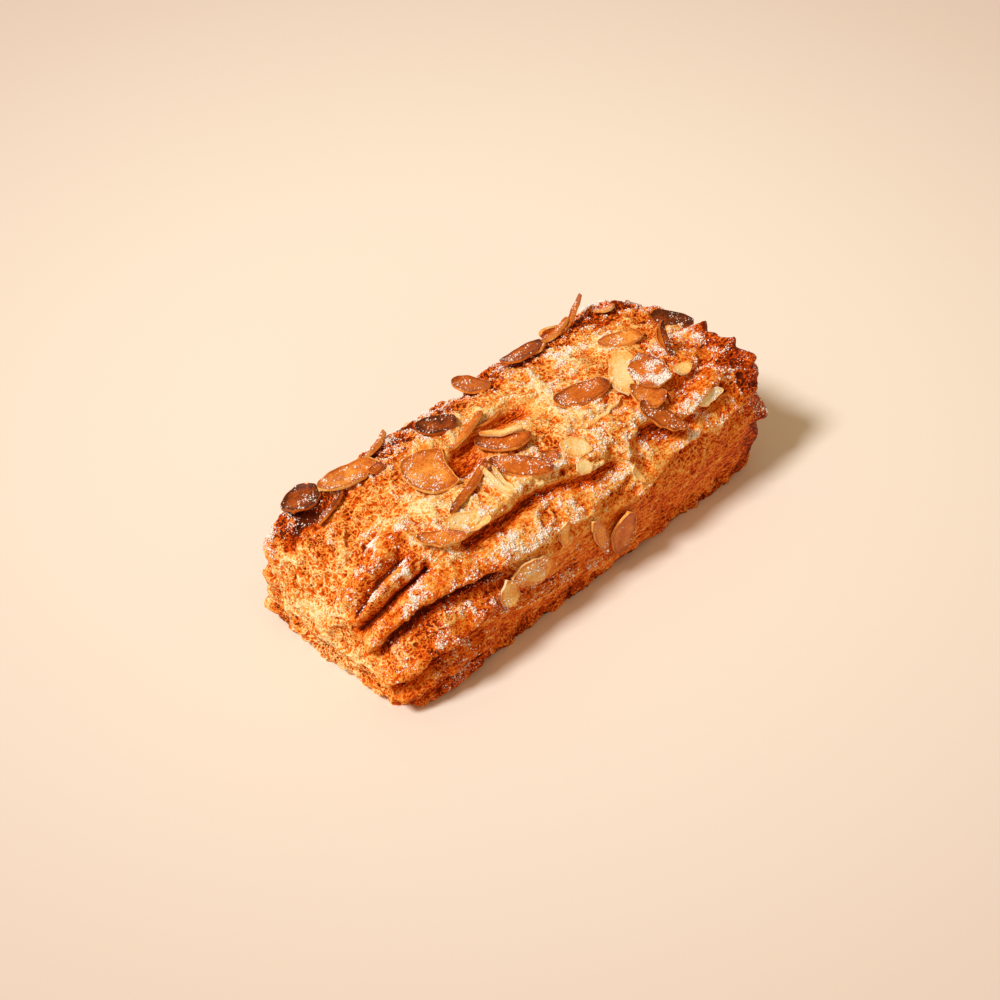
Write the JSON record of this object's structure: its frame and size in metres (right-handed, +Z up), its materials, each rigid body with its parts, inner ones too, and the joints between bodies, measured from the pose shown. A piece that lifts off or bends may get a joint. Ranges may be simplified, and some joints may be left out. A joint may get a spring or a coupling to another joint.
{
  "type": "almond eclair",
  "caption": "Long baked choux pastry with a ridged, torn golden crust, toasted almond flakes fused over its top and sides, and a flat underside to rest on.",
  "frame": {"origin": "middle of the loaf's flat underside, on the surface that it rests on", "axes": "+X along the loaf towards its squarer end, +Y towards the left wall, +Z up"},
  "size_m": [0.1438, 0.0625, 0.0522],
  "materials": {
    "crust": "dry baked crust, golden with toasted ridges",
    "almond": "toasted almond flakes, satin, pale to brown",
    "sugar": "matte white powdered sugar"
  },
  "bodies": {
    "root": {"eclair": "crust"}
  },
  "joints": []
}
